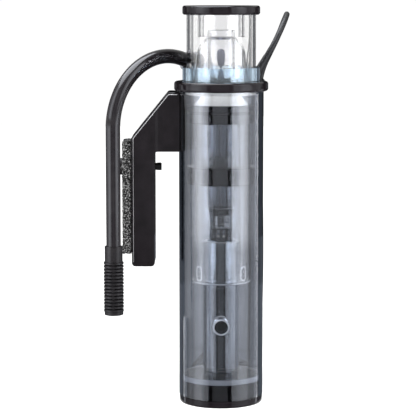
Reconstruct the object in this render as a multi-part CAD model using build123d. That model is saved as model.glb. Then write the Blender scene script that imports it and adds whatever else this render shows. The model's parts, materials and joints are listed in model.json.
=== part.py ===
from build123d import *
import math
import os

# A slim hang-on-back protein skimmer. Millimetres, +Z up, the origin at the centre of the base's underside.
# The tank is at -X, the viewer of the front at -Y, and the siphon socket and mains lead are at +Y.

# ---------------------------------------------------------------- driving dimensions
TUBE_R = 35.0  # body tube, outside
TUBE_WALL = 3.0
BORE_R = TUBE_R - TUBE_WALL
BASE_R = 34.6
BASE_TOP = 6.0
PLUG_TOP = 18.7
SPACER_TOP = 23.6
TUBE_TOP = 260.2
FLANGE_R = 38.9
FLANGE_TOP = 268.2
COLLAR_TOP = 280.0
LIMB_FIT = 0.1  # radial gap of pieces that are bonded inside the body tube

# collection cup and lid
CUP_R = 28.6
CUP_BORE = 25.6
CUP_TOP = 324.2
CUP_FIT = 0.35
RING_R = 27.7
RING_BORE = 20.0
CUP_RING_Z = (243.4, 249.0)
FLOOR_Z = (257.0, 259.0)
NECK_R = 11.85
NECK_BORE = 9.6
NECK_TOP = 309.9
LID_R = 32.0
LID_Z = (322.7, 330.2)
LID_PLUG_R = 19.3
LID_PLUG_BOTTOM = 304.8

# reaction chamber
CHAMBER_R = 22.5
CHAMBER_BORE = 20.0
CHAMBER_FLOOR_Z = (101.0, 103.0)
MID_RING_Z = (183.6, 198.0)
TOP_RING_Z = (234.0, 242.5)
PLATE_Z = (188.0, 192.0)
HUB_R = 11.5
HUB_TOP = 205.0
RISER_R = 12.0
RISER_BORE = 10.0
RISER_BOTTOM = 163.4

# pump
STAND_R = 14.8
STAND_BORE = 12.3
STAND_TOP = 135.4
PORT_R = 5.4
PORT_STUB_R = 6.8
PORT_STUB_END = 28.0
PORT_Z = 67.0
MOTOR_R = 8.4
MOTOR_Z = (28.6, 96.0)
MOTOR_BORE = 4.6
SHAFT_R = 1.25
BUSH_R = 3.0
COLUMN_R = 4.2
CAGE_R = 9.2
CAGE_Z = (136.0, 146.7)
PUMP_TOP = 157.0
WHEEL_R = 7.4

# bracket, a hollow duct over the tank's rim
BRACKET_Y = (-6.0, 28.0)
BRACKET_MID = (BRACKET_Y[0] + BRACKET_Y[1]) / 2
PLATE = 3.0
LEG_X = (-74.3, -55.2)
LEG_BOTTOM = 114.0
ARM_BOTTOM = 209.9
ARM_TOP = 259.0
FOAM_X = -82.5
FOAM_Z = (124.0, 218.6)
SCREW_Z = 196.3
SCREW_R = 3.0
TIP_X = -49.7
KNOB_R = 7.0
KNOB_X = (-89.0, -81.7)

# siphon
PIPE_R = 6.0
PIPE_BORE = 4.0
PIPE_FOOT = (-88.6, -20.4)
SOCKET = (-17.5, 43.0)  # where the elbow plugs into the ear
ARCH_R = 58.0
ARCH_Z = 230.0
ARCH_END = 22.0  # degrees past the top of the arch
PIPE_TAIL = 9.0  # straight end inside the elbow
ELBOW_R = 8.2
SPIGOT_R = 8.0
SPIGOT_BOTTOM = 255.0
TURNING_FIT = 0.06

# strainer
STRAINER_R = 8.25
STRAINER_ROOT = 7.0
STRAINER_BORE = 5.2
STRAINER_Z = (79.0, 120.5)
COLLAR_R = 7.4
STRAINER_COLLAR_TOP = 133.4
RIBS = 15

# rear ear
VALVE = (0.0, 42.0)
GLAND = (27.5, 42.0)
EAR_R = (13.5, 10.0)
MANIFOLD_BOTTOM = 236.0
MANIFOLD_WALL = 2.5

# mains lead
CORD_D = 5.0
LEAD_OUT = Vector(16.7, 5.0, 27.1).normalized()
RELIEF_LENGTH = 22.0
CORD_ROUTE = [
    (38.9, 45.4, 286.7),
    (45.5, 47.4, 297.4),
    (51.0, 51.9, 308.8),
    (55.0, 60.3, 317.3),
    (57.4, 73.2, 322.5),
    (57.6, 87.4, 321.5),
    (55.3, 99.4, 314.5),
    (51.6, 106.6, 302.2),
    (46.9, 109.2, 288.4),
    (40.8, 109.8, 274.6),
    (35.6, 109.2, 259.0),
    (35.0, 108.8, 230.0),
    (35.2, 108.0, 190.0),
    (36.2, 107.4, 144.0),
    (36.6, 107.8, 98.0),
    (35.8, 108.2, 54.0),
    (35.4, 108.0, 28.8),
    (35.0, 103.0, 16.8),
    (34.0, 93.8, 7.6),
    (32.6, 81.8, 2.6),
    (31.0, 70.0, 2.6),
]
COIL_MID = (0.8, 73.0)
COIL_R = (25.0, 30.1)  # centres of the two columns of turns
COIL_LAYERS = 3
TURN_STEP = 5.15
COIL_EXIT_DEG = 165.0
PLUG_SIZE = (17.0, 24.0, 12.0)
PLUG_LEAD = 30.0  # from where the last turn leaves the coil to the plug


# ---------------------------------------------------------------- helpers
def rod(radius, low, high, x=0.0, y=0.0):
    """A vertical solid cylinder between two heights."""
    return Pos(x, y, (low + high) / 2) * Cylinder(radius, high - low)


def pipe(outer, inner, low, high, x=0.0, y=0.0):
    """A vertical tube between two heights."""
    return rod(outer, low, high, x, y) - rod(inner, low - 1, high + 1, x, y)


def rod_x(radius, left, right, y, z):
    """A solid cylinder along X."""
    return Pos((left + right) / 2, y, z) * Rot(0, 90, 0) * Cylinder(radius, right - left)


def block(x, y, z):
    """A box between two corners, given as (low, high) along each axis."""
    size = [axis[1] - axis[0] for axis in (x, y, z)]
    middle = [(axis[1] + axis[0]) / 2 for axis in (x, y, z)]
    return Pos(*middle) * Box(*size)


def turned(outline):
    """A solid turned about Z from an outline of (radius, height) points."""
    points = [(radius, 0, height) for radius, height in outline]
    return revolve(make_face(Polyline(points, close=True)), Axis.Z, 360)


def upright(outline, y):
    """A plate cut to an outline of (x, z) points, between two depths."""
    face = make_face(Polyline([(x, y[0], z) for x, z in outline], close=True))
    return extrude(face, amount=y[1] - y[0], dir=(0, 1, 0))


def flat(outline, low, high):
    """A plate cut to an outline of (x, y) points, between two heights."""
    face = make_face(Polyline([(x, y, low) for x, y in outline], close=True))
    return extrude(face, amount=high - low, dir=(0, 0, 1))


def circles_at(solid, radius, height):
    """The circular edges of that radius at that height about Z."""
    return [
        edge
        for edge in solid.edges().filter_by(GeomType.CIRCLE)
        if abs(edge.radius - radius) < 0.01 and abs(edge.center().Z - height) < 0.01
    ]


def lobed(centres, radii, low, high):
    """A plate that wraps two circles and the straight sides between them."""
    (ax, ay), (bx, by) = centres
    ra, rb = radii
    away = math.atan2(by - ay, bx - ax)
    lean = math.acos((ra - rb) / math.dist((ax, ay), (bx, by)))
    corners = []
    for side in (1, -1):
        angle = away + side * lean
        corners.append((ax + ra * math.cos(angle), ay + ra * math.sin(angle)))
        corners.append((bx + rb * math.cos(angle), by + rb * math.sin(angle)))
    outline = [corners[0], corners[1], corners[3], corners[2]]
    return flat(outline, low, high) + rod(ra, low, high, ax, ay) + rod(rb, low, high, bx, by)


def swept(path, radius, bore=0.0):
    """A round bar, or a tube, along a path of tangent lines and arcs."""
    start = Plane(origin=path @ 0, z_dir=path % 0)
    bar = sweep(start * Circle(radius), path=path)
    if bore:
        bar = bar - sweep(start * Circle(bore), path=path)
    return bar


def bend_radii(points, share=0.45):
    """The largest arc that each corner of a route allows."""
    radii = []
    for before, here, after in zip(points, points[1:], points[2:]):
        arriving = Vector(*here) - Vector(*before)
        leaving = Vector(*after) - Vector(*here)
        turn = math.radians(arriving.get_angle(leaving))
        radii.append(share * min(arriving.length, leaving.length) / math.tan(turn / 2))
    return radii


# ---------------------------------------------------------------- body
def base_plate():
    plate = rod(BASE_R, 0, BASE_TOP)
    return fillet(circles_at(plate, BASE_R, 0), 0.8)


def base_plug():
    plug = rod(BORE_R - LIMB_FIT, BASE_TOP, PLUG_TOP)
    return fillet(circles_at(plug, BORE_R - LIMB_FIT, PLUG_TOP), 0.5)


def base_spacer():
    return pipe(BORE_R - LIMB_FIT, STAND_R, PLUG_TOP, SPACER_TOP)


def body_tube():
    tube = pipe(TUBE_R, BORE_R, BASE_TOP, TUBE_TOP)
    return_window = block((-45, -20), (-2, 22), (216, 252))
    rear_window = block((-17, 14), (20, 45), (241, 257))
    return tube - return_window - rear_window


def ear_outline(low, high, grow=0.0):
    """The rear ear's plan, joined to the flange's disc."""
    lobes = lobed((SOCKET, GLAND), (EAR_R[0] + grow, EAR_R[1] + grow), low, high)
    left = SOCKET[0] - EAR_R[0] - grow
    right = GLAND[0] + EAR_R[1] + grow
    neck = flat([(left, SOCKET[1]), (-34 - grow, 17), (34 + grow, 17), (right, GLAND[1])], low, high)
    return lobes + neck


def top_flange():
    flange = rod(FLANGE_R, TUBE_TOP, FLANGE_TOP) + ear_outline(TUBE_TOP, FLANGE_TOP)
    rims = [e for e in flange.edges() if e.center().Z < TUBE_TOP + 0.01 or e.center().Z > FLANGE_TOP - 0.01]
    flange = fillet(rims, 2.3)
    flange -= rod(CUP_R + CUP_FIT, TUBE_TOP - 1, FLANGE_TOP + 1)
    flange -= rod(SPIGOT_R + TURNING_FIT, TUBE_TOP - 1, FLANGE_TOP + 1, *SOCKET)
    flange -= rod(1.6, TUBE_TOP - 1, FLANGE_TOP + 1, *VALVE)
    flange -= rod(1.7, TUBE_TOP - 1, FLANGE_TOP + 1, *GLAND)
    return flange


def cup_collar():
    collar = pipe(BORE_R, CUP_R + CUP_FIT, FLANGE_TOP, COLLAR_TOP)
    return fillet(circles_at(collar, BORE_R, COLLAR_TOP), 0.6)


def manifold_plan(low, high, inset):
    lobes = lobed((SOCKET, GLAND), (12.5 - inset, 9.0 - inset), low, high)
    left = SOCKET[0] - 12.2 + 1.05 * inset
    right = GLAND[0] + 8.5 - 1.05 * inset
    throat = flat([(left, 41), (-21.2 + 1.25 * inset, 28.4), (21.5 - 1.25 * inset, 28.4), (right, 40)], low, high)
    return lobes + throat


def rear_manifold():
    box = manifold_plan(MANIFOLD_BOTTOM, TUBE_TOP, 0.0)
    hollow = manifold_plan(MANIFOLD_BOTTOM + MANIFOLD_WALL, TUBE_TOP + 1, MANIFOLD_WALL)
    return box - hollow - rod(TUBE_R, MANIFOLD_BOTTOM - 1, TUBE_TOP + 1)


# ---------------------------------------------------------------- bracket
BRACKET_OUTLINE = [
    (-20.0, ARM_TOP),
    (-44.0, ARM_TOP),
    (LEG_X[0], 221.5),
    (LEG_X[0], LEG_BOTTOM),
    (LEG_X[1], LEG_BOTTOM),
    (LEG_X[1], ARM_BOTTOM),
    (-20.0, ARM_BOTTOM),
]
BRACKET_CORNERS = {1: 2.5, 2: 2.0, 3: 3.0, 4: 3.0, 5: 2.5}


def bracket_solid(y, inset=0.0):
    """The bracket's outline as a plate, with its corners rounded and its end fitted to the body tube."""
    plate = upright(BRACKET_OUTLINE, y)
    for index, radius in BRACKET_CORNERS.items():
        x, z = BRACKET_OUTLINE[index]
        corner = [
            e
            for e in plate.edges().filter_by(Axis.Y)
            if abs(e.center().X - x) < 0.01 and abs(e.center().Z - z) < 0.01
        ]
        plate = fillet(corner, radius)
    if inset:
        face = plate.faces().sort_by(Axis.Y)[0]
        inner = offset(face, amount=-inset)
        plate = extrude(inner, amount=y[1] - y[0], dir=(0, 1, 0))
    return plate


def fitted_to_tube(solid):
    return solid - rod(TUBE_R, 0, TUBE_TOP + 10)


def bracket_front():
    plate = bracket_solid((BRACKET_Y[0], BRACKET_Y[0] + PLATE))
    rim = [
        e
        for e in plate.edges()
        if abs(e.center().Y - BRACKET_Y[0]) < 0.01 and e.center().X < -20.5
    ]
    return fitted_to_tube(fillet(rim, 1.0))


def bracket_back():
    plate = bracket_solid((BRACKET_Y[1] - PLATE, BRACKET_Y[1]))
    rim = [
        e
        for e in plate.edges()
        if abs(e.center().Y - BRACKET_Y[1]) < 0.01 and e.center().X < -20.5
    ]
    return fitted_to_tube(fillet(rim, 1.0))


INNER_Y = (BRACKET_Y[0] + PLATE, BRACKET_Y[1] - PLATE)
OUTLET_Y = (2.0, 20.0)
OUTLET_Z = (130.0, 183.0)
SLEEVE_R = 6.5
INSERT_R = 4.0


def bracket_duct():
    """The edge strip between the two plates: it makes the bracket a duct."""
    strip = bracket_solid(INNER_Y) - bracket_solid(INNER_Y, PLATE)
    strip = fitted_to_tube(strip)
    strip -= block((LEG_X[0] - 1, LEG_X[0] + PLATE + 0.5), OUTLET_Y, OUTLET_Z)
    strip -= rod_x(SCREW_R + 0.4, LEG_X[0] - 1, LEG_X[0] + PLATE + 0.5, BRACKET_MID, SCREW_Z)
    strip -= rod_x(INSERT_R, LEG_X[1] - PLATE - 0.5, LEG_X[1] + 1, BRACKET_MID, SCREW_Z)
    return strip


def outlet_grille():
    grille = block((LEG_X[0], LEG_X[0] + PLATE), OUTLET_Y, OUTLET_Z)
    slots = 8
    pitch = (OUTLET_Z[1] - OUTLET_Z[0]) / slots
    for k in range(slots):
        middle = OUTLET_Z[0] + (k + 0.5) * pitch
        grille -= block(
            (LEG_X[0] - 1, LEG_X[0] + PLATE + 1),
            (OUTLET_Y[0] + 2, OUTLET_Y[1] - 2),
            (middle - 1.4, middle + 1.4),
        )
    return grille


def foam_pad():
    pad = block((FOAM_X, LEG_X[0]), (BRACKET_Y[0] + 1, BRACKET_Y[1] - 1), FOAM_Z)
    pad = fillet(pad.edges().group_by(Axis.X)[0], 1.2)
    return pad - rod_x(KNOB_R + 1.5, FOAM_X - 1, LEG_X[0] + 1, BRACKET_MID, SCREW_Z)


def screw_sleeve():
    sleeve = rod_x(SLEEVE_R, LEG_X[0] + PLATE, LEG_X[1] - PLATE, BRACKET_MID, SCREW_Z)
    return sleeve - rod_x(INSERT_R, LEG_X[0], LEG_X[1], BRACKET_MID, SCREW_Z)


def thread_insert():
    insert = rod_x(INSERT_R, LEG_X[1] - 9, LEG_X[1], BRACKET_MID, SCREW_Z)
    return insert - rod_x(SCREW_R + TURNING_FIT, LEG_X[0], LEG_X[1] + 1, BRACKET_MID, SCREW_Z)


# ---------------------------------------------------------------- clamp
TIP_LENGTH = 3.7
SPIGOT = (1.9, 1.8)  # radius and length of the screw's nose inside the tip


def clamp_tip():
    tip = rod_x(SCREW_R + 0.25, TIP_X - TIP_LENGTH, TIP_X, BRACKET_MID, SCREW_Z)
    rim = [e for e in tip.edges().filter_by(GeomType.CIRCLE) if e.center().X > TIP_X - 0.01]
    tip = fillet(rim, 0.6)
    return tip - rod_x(
        SPIGOT[0] + TURNING_FIT, TIP_X - TIP_LENGTH - 1, TIP_X - TIP_LENGTH + 2, BRACKET_MID, SCREW_Z
    )


def clamp_screw():
    shoulder = TIP_X - TIP_LENGTH - 0.05
    shank = rod_x(SCREW_R, KNOB_X[0] + 3, shoulder, BRACKET_MID, SCREW_Z)
    return shank + rod_x(SPIGOT[0], shoulder - 1, shoulder + SPIGOT[1], BRACKET_MID, SCREW_Z)


def clamp_knob():
    knob = rod_x(KNOB_R, *KNOB_X, BRACKET_MID, SCREW_Z)
    flutes = 16
    for k in range(flutes):
        angle = 2 * math.pi * k / flutes
        knob -= rod_x(
            0.7,
            KNOB_X[0] - 1,
            KNOB_X[1] + 1,
            BRACKET_MID + KNOB_R * math.cos(angle),
            SCREW_Z + KNOB_R * math.sin(angle),
        )
    return knob - rod_x(SCREW_R, KNOB_X[0] + 3, KNOB_X[1] + 1, BRACKET_MID, SCREW_Z)


# ---------------------------------------------------------------- reaction chamber
def chamber_floor():
    return pipe(24.3, STAND_R, *CHAMBER_FLOOR_Z)


def reaction_tube_lower():
    tube = pipe(CHAMBER_R, CHAMBER_BORE, CHAMBER_FLOOR_Z[1], MID_RING_Z[0])
    for azimuth in (53, 127, 233, 307):
        for height in (107.5, 110.5):
            tube -= Rot(0, 0, azimuth - 90) * Pos(CHAMBER_R, 0, height) * Rot(0, 90, 0) * Cylinder(2.5, 8)
    air_entry = Pos(AIR_X, CHAMBER_R, AIR_Z) * Rot(90, 0, 0) * Cylinder(AIR_D / 2, 12)
    return tube - air_entry


def reaction_tube_upper():
    return pipe(CHAMBER_R, CHAMBER_BORE, MID_RING_Z[1], TOP_RING_Z[0])


def mid_ring():
    return pipe(RING_R, CHAMBER_BORE, *MID_RING_Z)


def chamber_top_ring():
    return pipe(RING_R, RING_BORE, *TOP_RING_Z)


def bubble_plate():
    plate = pipe(CHAMBER_BORE, 9.0, *PLATE_Z)
    for radius, count in ((14.0, 16), (17.3, 22)):
        for k in range(count):
            angle = 2 * math.pi * k / count
            plate -= rod(
                1.1, PLATE_Z[0] - 1, PLATE_Z[1] + 1, radius * math.cos(angle), radius * math.sin(angle)
            )
    return plate


def riser_hub():
    return pipe(HUB_R, 9.0, PLATE_Z[1], HUB_TOP)


def riser_tube_lower():
    return pipe(RISER_R, RISER_BORE, RISER_BOTTOM, PLATE_Z[0])


def riser_tube_upper():
    return pipe(RISER_R, RISER_BORE, HUB_TOP, TOP_RING_Z[0])


def diffuser_funnel():
    return turned([
        (CAGE_R, PUMP_TOP),
        (HUB_R, RISER_BOTTOM),
        (RISER_BORE, RISER_BOTTOM),
        (CAGE_R - 1.5, PUMP_TOP),
    ])


# ---------------------------------------------------------------- pump
def pump_housing():
    return pipe(CAGE_R, CAGE_R - 1.3, CAGE_Z[1], PUMP_TOP)


def intake_cage():
    floor_top = CAGE_Z[0] + 3
    cage = pipe(CAGE_R, BUSH_R, CAGE_Z[0], floor_top)
    cage += pipe(CAGE_R, CAGE_R - 1.6, floor_top, CAGE_Z[1])
    bars = 12
    for k in range(bars):
        slot = Pos(CAGE_R, 0, (floor_top + CAGE_Z[1] - 1.2) / 2) * Box(6, 2.4, CAGE_Z[1] - 1.2 - floor_top)
        cage -= Rot(0, 0, 360 * (k + 0.5) / bars) * slot
    return cage


def stand_tube():
    """The pump's stand, with a short stub at the front round its suction port."""
    tube = pipe(STAND_R, STAND_BORE, PLUG_TOP, STAND_TOP)
    stub_length = PORT_STUB_END - STAND_BORE - 0.1
    tube += Pos(0, stub_length / 2 - PORT_STUB_END, PORT_Z) * Rot(90, 0, 0) * Cylinder(PORT_STUB_R, stub_length)
    tube -= Pos(0, -STAND_R, PORT_Z) * Rot(90, 0, 0) * Cylinder(PORT_R, 2 * PORT_STUB_END - 2 * STAND_R)
    cable_way = Vector(CABLE_X, CABLE_Y, 0).normalized() * STAND_R
    slope = math.degrees(math.atan2(CABLE_Y, CABLE_X))
    return tube - Pos(cable_way.X, cable_way.Y, CABLE_Z) * Rot(0, 0, slope) * Rot(0, 90, 0) * Cylinder(
        CABLE_D / 2, 12
    )


def motor_mount():
    mount = pipe(STAND_BORE, 2.0, PLUG_TOP, MOTOR_Z[0])
    for height in (21.4, 24.2, 27.0):
        mount -= pipe(STAND_BORE + 1, MOTOR_R + 1.2, height - 0.6, height + 0.6)
    return mount


def motor_can():
    can = rod(MOTOR_R, *MOTOR_Z)
    can = fillet(circles_at(can, MOTOR_R, MOTOR_Z[1]), 2.0)
    can -= rod(MOTOR_BORE, MOTOR_Z[0] + 6, MOTOR_Z[1] - 3)
    can -= rod(BUSH_R, MOTOR_Z[0] + 2, MOTOR_Z[0] + 7)
    return can - rod(2.4, MOTOR_Z[1] - 4, MOTOR_Z[1] + 1)


def shaft_housing():
    return pipe(COLUMN_R, 2.4, MOTOR_Z[1], CAGE_Z[0]) + turned([
        (COLUMN_R - 0.5, CHAMBER_FLOOR_Z[1]),
        (COLUMN_R + 3.0, CHAMBER_FLOOR_Z[1]),
        (COLUMN_R - 0.5, CHAMBER_FLOOR_Z[1] + 6.0),
    ])


def shaft_bushes():
    """Two identical ceramic bushes, one in the motor can's foot and one in the cage's floor."""
    bore = SHAFT_R + TURNING_FIT
    lower = pipe(BUSH_R, bore, MOTOR_Z[0] + 2, MOTOR_Z[0] + 5)
    upper = pipe(BUSH_R, bore, CAGE_Z[0], CAGE_Z[0] + 3)
    return Compound(children=[lower, upper])


def rotor_magnet():
    return pipe(4.0, SHAFT_R, 40.0, 66.0)


def rotor_shaft():
    return rod(SHAFT_R, MOTOR_Z[0] + 2.3, 158.5)


def needle_wheel():
    wheel = pipe(WHEEL_R, SHAFT_R, 148.0, 149.6)
    wheel += pipe(2.6, SHAFT_R, 149.6, 156.0)
    for radius, count in ((6.6, 16), (4.4, 10)):
        for k in range(count):
            angle = 2 * math.pi * (k + 0.5 * (count == 10)) / count
            wheel += rod(0.55, 149.0, 155.6, radius * math.cos(angle), radius * math.sin(angle))
    return wheel


# ---------------------------------------------------------------- services inside the body
AIR_D = 3.2
AIR_X = -1.0
AIR_Z = 142.0
CABLE_D = 3.4
CABLE_X = 7.5
CABLE_Y = 29.05
CABLE_Z = 33.0


def air_tube():
    points = [
        (VALVE[0], VALVE[1], FLANGE_TOP),
        (VALVE[0], VALVE[1], 250.0),
        (AIR_X, 29.9, 244.0),
        (AIR_X, 29.9, AIR_Z),
        (AIR_X, CAGE_R + 0.3, AIR_Z),
    ]
    path = FilletPolyline(*points, radius=5.0)
    return swept(path, AIR_D / 2)


def inner_cable():
    start = Vector(CABLE_X, CABLE_Y, 0).normalized() * (MOTOR_R + 0.02)
    points = [
        (start.X, start.Y, CABLE_Z),
        (CABLE_X, CABLE_Y, CABLE_Z),
        (CABLE_X, CABLE_Y, 245.5),
        (9.0, 42.3, 250.0),
        (GLAND[0], GLAND[1], 250.5),
        (GLAND[0], GLAND[1], FLANGE_TOP),
    ]
    path = FilletPolyline(*points, radius=4.6)
    return swept(path, CABLE_D / 2)


# ---------------------------------------------------------------- cup and lid
def cup_tube():
    return pipe(CUP_R, CUP_BORE, CUP_RING_Z[1], CUP_TOP)


def cup_base_ring():
    return pipe(RING_R, RING_BORE, *CUP_RING_Z)


def cup_o_ring():
    return pipe(26.4, 24.6, TOP_RING_Z[1] + 0.05, CUP_RING_Z[0])


def neck_cone():
    """The white funnel below the neck, with the flat floor of the cup around its top."""
    return turned([
        (22.4, CUP_RING_Z[1]),
        (15.4, FLOOR_Z[0]),
        (CUP_BORE, FLOOR_Z[0]),
        (CUP_BORE, FLOOR_Z[1]),
        (NECK_BORE, FLOOR_Z[1]),
        (NECK_BORE, FLOOR_Z[0] + 0.5),
        (12.0, FLOOR_Z[0]),
        (20.2, CUP_RING_Z[1]),
    ])


def neck_tube():
    return pipe(NECK_R, NECK_BORE, FLOOR_Z[1], NECK_TOP)


BELL_OUTSIDE = [(21.7, 273.0), (20.6, 281.5), (20.0, 290.5), (18.9, 295.0), (16.6, 299.6), (13.1, 303.2)]
BELL_WALL = 1.3


def foam_bell():
    """A thin clear bell over the neck's outside, open at its foot."""
    foot = (22.6, FLOOR_Z[1])
    top = (NECK_R, 304.0)
    outer = Spline([(r, 0, z) for r, z in [foot, *BELL_OUTSIDE, top]])
    thinner = [(r - BELL_WALL, z - (1.1 if z > 296 else 0.2)) for r, z in BELL_OUTSIDE[:-1]]
    inner = Spline([(r, 0, z) for r, z in [(foot[0] - BELL_WALL, foot[1]), *thinner, (NECK_R, 302.2)]])
    cap = Line(outer @ 1, inner @ 1)
    rim = Line(inner @ 0, outer @ 0)
    return revolve(make_face(Curve() + [outer, cap, inner, rim]), Axis.Z, 360)


def lid():
    cover = rod(LID_R, *LID_Z)
    rims = circles_at(cover, LID_R, LID_Z[0]) + circles_at(cover, LID_R, LID_Z[1])
    cover = fillet(rims, 2.0)
    cover -= pipe(CUP_R + 0.4, CUP_BORE - 0.4, LID_Z[0] - 1, CUP_TOP)
    return cover - rod(1.5, LID_Z[0] - 1, LID_Z[1] + 1, 0, 22.2)


def lid_plug():
    return pipe(LID_PLUG_R, LID_PLUG_R - 3.0, LID_PLUG_BOTTOM, LID_Z[0])


# ---------------------------------------------------------------- siphon
REACH = math.dist(PIPE_FOOT, SOCKET)
HEADING = math.degrees(math.atan2(SOCKET[1] - PIPE_FOOT[1], SOCKET[0] - PIPE_FOOT[0]))
END = math.radians(ARCH_END)
TAIL_START = (ARCH_R + ARCH_R * math.sin(END), ARCH_Z + ARCH_R * math.cos(END))
TAIL_END = (
    TAIL_START[0] + PIPE_TAIL * math.cos(END),
    TAIL_START[1] - PIPE_TAIL * math.sin(END),
)
ELBOW_BEND = (REACH - TAIL_END[0]) / (1 - math.sin(END))
ELBOW_FOOT = TAIL_END[1] - ELBOW_BEND * math.cos(END)


def in_siphon_plane(solid):
    """From the arch's own plane, with the foot at x = 0, to where the siphon stands."""
    return Pos(PIPE_FOOT[0], PIPE_FOOT[1], 0) * Rot(0, 0, HEADING) * solid


def siphon_pipe():
    foot = Vector(0, 0, STRAINER_Z[1] + 2)
    shoulder = Vector(0, 0, ARCH_Z)
    top = Vector(ARCH_R, 0, ARCH_Z + ARCH_R)
    start = Vector(TAIL_START[0], 0, TAIL_START[1])
    riser = Line(foot, shoulder)
    half = math.radians(45)
    rising = Vector(ARCH_R - ARCH_R * math.cos(half), 0, ARCH_Z + ARCH_R * math.sin(half))
    arch_up = ThreePointArc(shoulder, rising, top)
    middle = END / 2
    falling = Vector(ARCH_R + ARCH_R * math.sin(middle), 0, ARCH_Z + ARCH_R * math.cos(middle))
    arch_down = ThreePointArc(top, falling, start)
    tail = Line(start, Vector(TAIL_END[0], 0, TAIL_END[1]))
    path = Wire([riser, arch_up, arch_down, tail])
    return in_siphon_plane(swept(path, PIPE_R, PIPE_BORE))


def inlet_elbow():
    start = Vector(TAIL_START[0], 0, TAIL_START[1])
    turn_start = Vector(TAIL_END[0], 0, TAIL_END[1])
    foot = Vector(REACH, 0, ELBOW_FOOT)
    middle = (END + math.pi / 2) / 2
    centre = (REACH - ELBOW_BEND, ELBOW_FOOT)
    way = Vector(centre[0] + ELBOW_BEND * math.sin(middle), 0, centre[1] + ELBOW_BEND * math.cos(middle))
    path = Wire([Line(start, turn_start), ThreePointArc(turn_start, way, foot)])
    elbow = swept(path, ELBOW_R)
    elbow += rod(SPIGOT_R, SPIGOT_BOTTOM, ELBOW_FOOT, REACH)
    elbow += rod(SPIGOT_R + 2.2, FLANGE_TOP + 0.1, ELBOW_FOOT + 1.2, REACH)
    groove = pipe(SPIGOT_R + 1, SPIGOT_R - 1.2, 262.0, 264.2, REACH)
    water = swept(Wire([ThreePointArc(turn_start, way, foot)]), PIPE_BORE)
    water += rod(PIPE_BORE, SPIGOT_BOTTOM - 1, ELBOW_FOOT + 0.01, REACH)
    socket = swept(Wire([Line(start, turn_start)]), PIPE_R)
    return in_siphon_plane(elbow - groove - water - socket)


def elbow_o_ring():
    return pipe(SPIGOT_R + 0.02, SPIGOT_R - 1.2, 262.0, 264.2, *SOCKET)


def strainer():
    """A slotted tube with stacked ribs, and the collar that grips the siphon pipe."""
    x, y = PIPE_FOOT
    low, high = STRAINER_Z
    body = pipe(STRAINER_ROOT, STRAINER_BORE, low, high, x, y)
    pitch = (high - 1.0 - (low + 1.2)) / (RIBS - 1)
    heights = [low + 1.2 + k * pitch for k in range(RIBS)]
    for height in heights:
        body += pipe(STRAINER_R, STRAINER_BORE, height - 0.75, height + 0.75, x, y)
    for below, above in zip(heights, heights[1:]):
        middle = (below + above) / 2
        slit = pipe(STRAINER_R + 1, STRAINER_BORE - 1, middle - 0.5, middle + 0.5, x, y)
        bars = Pos(x, y, middle) * (Box(20, 2.2, 3) + Box(2.2, 20, 3))
        body -= slit - bars
    body += pipe(COLLAR_R, PIPE_R + TURNING_FIT, high, STRAINER_COLLAR_TOP, x, y)
    return body


def strainer_cap():
    x, y = PIPE_FOOT
    cap = rod(STRAINER_R - 0.4, STRAINER_Z[0] - 2.8, STRAINER_Z[0], x, y)
    low = [e for e in cap.edges().filter_by(GeomType.CIRCLE) if e.center().Z < STRAINER_Z[0] - 2.5]
    return fillet(low, 0.8)


# ---------------------------------------------------------------- air valve and lead
def air_valve_body():
    nut = extrude(Pos(VALVE[0], VALVE[1], FLANGE_TOP) * RegularPolygon(4.6, 6), amount=3.2)
    nut += rod(3.4, FLANGE_TOP + 3.2, 275.0, *VALVE)
    return nut - rod(1.6, FLANGE_TOP - 1, 276.0, *VALVE)


def air_valve_knob():
    """A barrel-shaped knob on a stem that turns in the valve's body."""
    half = 8.0
    middle = 286.5
    widest = 5.2
    steps = 12
    side = []
    for k in range(1, steps):
        angle = math.pi * (k / steps - 0.5)
        side.append((widest * math.cos(angle) ** 0.8, middle + half * math.sin(angle)))
    knob = turned([(0, middle - half), *side, (0, middle + half)])
    knob += rod(1.54, 269.5, middle, *(0, 0))
    flutes = 12
    for k in range(flutes):
        angle = 2 * math.pi * k / flutes
        knob -= rod(0.35, 280.0, 293.0, widest * math.cos(angle), widest * math.sin(angle))
    return Pos(VALVE[0], VALVE[1], 0) * knob


def strain_relief():
    """A tapered boot that leans out of a round boss on the ear."""
    lean = Plane(origin=(GLAND[0], GLAND[1], FLANGE_TOP), z_dir=LEAD_OUT)
    boot = lean * Pos(0, 0, RELIEF_LENGTH / 2 - 3) * Cone(3.2, CORD_D / 2 + 0.2, RELIEF_LENGTH + 6)
    boot = boot & block((0, 80), (0, 90), (FLANGE_TOP, 320))
    tip = Plane(origin=CORD_ROUTE[0], z_dir=LEAD_OUT)
    boot -= tip * Pos(0, 0, 20) * Box(40, 40, 40)
    boss = rod(5.6, FLANGE_TOP, FLANGE_TOP + 3.6, *GLAND)
    boss = fillet([e for e in boss.edges() if e.center().Z > FLANGE_TOP + 3], 1.0)
    return boot + boss


def cord_coil():
    """The outer shape of the neat coil that the rest of the lead is put away in."""
    turn = CORD_D / 2
    return pipe(COIL_R[1] + turn, COIL_R[0] - turn, 0.0, COIL_LAYERS * TURN_STEP, *COIL_MID)


def power_cord():
    radii = bend_radii(CORD_ROUTE)
    path = FilletPolyline(*CORD_ROUTE, radius=radii)
    tube = swept(path, CORD_D / 2)
    section = math.pi * (CORD_D / 2) ** 2
    print("cord radii", [round(r, 1) for r in radii])
    runs = [math.dist(a, b) for a, b in zip(CORD_ROUTE, CORD_ROUTE[1:])]
    print("cord runs", [round(r, 1) for r in runs])
    print("cord tube", round(path.length, 1), "mm long, volume share", round(tube.volume / section / path.length, 4))
    return tube - cord_coil()


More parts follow.
